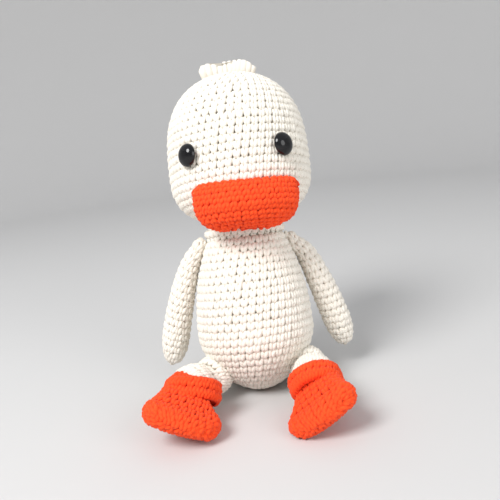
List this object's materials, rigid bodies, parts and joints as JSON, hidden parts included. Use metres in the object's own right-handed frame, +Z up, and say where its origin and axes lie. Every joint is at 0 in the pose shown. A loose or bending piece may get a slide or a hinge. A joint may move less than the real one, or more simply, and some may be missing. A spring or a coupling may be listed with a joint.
{
  "type": "stuffed duck toy",
  "caption": "Crocheted duck, a stuffed toy that sits leaning back, with a flat beak, drop wings, a ruffled crest and boots with folded cuffs.",
  "frame": {"origin": "middle of the flat under the body that the duck sits on", "axes": "+Z up; the duck faces -Y; its own left side is +X"},
  "size_m": [0.1135, 0.1354, 0.178],
  "materials": {
    "cream_yarn": "matte cotton yarn, single crochet",
    "orange_yarn": "matte cotton yarn, single crochet",
    "black_plastic": "polished",
    "clear_plastic": "milky, hidden inside the head",
    "fibre_fill": "polyester stuffing, hidden inside the covers"
  },
  "bodies": {
    "torso": {"body_cover": "cream_yarn", "body_stuffing": "fibre_fill"},
    "neck": {"neck_seam": "cream_yarn"},
    "head": {"head_cover": "cream_yarn", "head_stuffing": "fibre_fill", "beak_cover": "orange_yarn", "beak_stuffing": "fibre_fill", "crest": "cream_yarn", "eye_left": "black_plastic", "eye_right": "black_plastic", "eye_washer_left": "clear_plastic", "eye_washer_right": "clear_plastic"},
    "shoulder_left": {"shoulder_seam_left": "cream_yarn"},
    "wing_left": {"wing_left_cover": "cream_yarn", "wing_left_stuffing": "fibre_fill"},
    "shoulder_right": {"shoulder_seam_right": "cream_yarn"},
    "wing_right": {"wing_right_cover": "cream_yarn", "wing_right_stuffing": "fibre_fill"},
    "hip_left": {"hip_seam_left": "cream_yarn"},
    "leg_left": {"leg_left_cover": "cream_yarn", "leg_left_stuffing": "fibre_fill", "boot_left_cover": "orange_yarn", "boot_left_stuffing": "fibre_fill", "boot_left_cuff": "orange_yarn"},
    "hip_right": {"hip_seam_right": "cream_yarn"},
    "leg_right": {"leg_right_cover": "cream_yarn", "leg_right_stuffing": "fibre_fill", "boot_right_cover": "orange_yarn", "boot_right_stuffing": "fibre_fill", "boot_right_cuff": "orange_yarn"}
  },
  "joints": [
    {"name": "neck_turn", "type": "hinge", "parent": "torso", "child": "neck", "pos_m": [0, 0.00981, 0.08461], "axis": [0, 0.2079, 0.9781], "range_deg": [-25, 25], "stiffness_Nm_per_rad": 0.3},
    {"name": "neck_nod", "type": "hinge", "parent": "neck", "child": "head", "pos_m": [0, 0.00981, 0.08461], "axis": [1, 0, 0], "range_deg": [-8, 10], "stiffness_Nm_per_rad": 0.6},
    {"name": "shoulder_left_swing", "type": "hinge", "parent": "torso", "child": "shoulder_left", "pos_m": [0.0276, 0.00921, 0.08021], "axis": [-1, 0, 0], "range_deg": [-30, 60]},
    {"name": "shoulder_left_lift", "type": "hinge", "parent": "shoulder_left", "child": "wing_left", "pos_m": [0.0276, 0.00921, 0.08021], "axis": [0, -1, 0], "range_deg": [0, 65]},
    {"name": "shoulder_right_swing", "type": "hinge", "parent": "torso", "child": "shoulder_right", "pos_m": [-0.0276, 0.00921, 0.08021], "axis": [-1, 0, 0], "range_deg": [-30, 60]},
    {"name": "shoulder_right_lift", "type": "hinge", "parent": "shoulder_right", "child": "wing_right", "pos_m": [-0.0276, 0.00921, 0.08021], "axis": [0, 1, 0], "range_deg": [0, 65]},
    {"name": "hip_left_swing", "type": "hinge", "parent": "torso", "child": "hip_left", "pos_m": [0.025, -0.0165, 0.014], "axis": [1, 0, 0], "range_deg": [-12, 70]},
    {"name": "hip_left_splay", "type": "hinge", "parent": "hip_left", "child": "leg_left", "pos_m": [0.025, -0.0165, 0.014], "axis": [0, 0, 1], "range_deg": [-4, 25]},
    {"name": "hip_right_swing", "type": "hinge", "parent": "torso", "child": "hip_right", "pos_m": [-0.025, -0.0165, 0.014], "axis": [1, 0, 0], "range_deg": [-12, 70]},
    {"name": "hip_right_splay", "type": "hinge", "parent": "hip_right", "child": "leg_right", "pos_m": [-0.025, -0.0165, 0.014], "axis": [0, 0, -1], "range_deg": [-4, 25]}
  ]
}
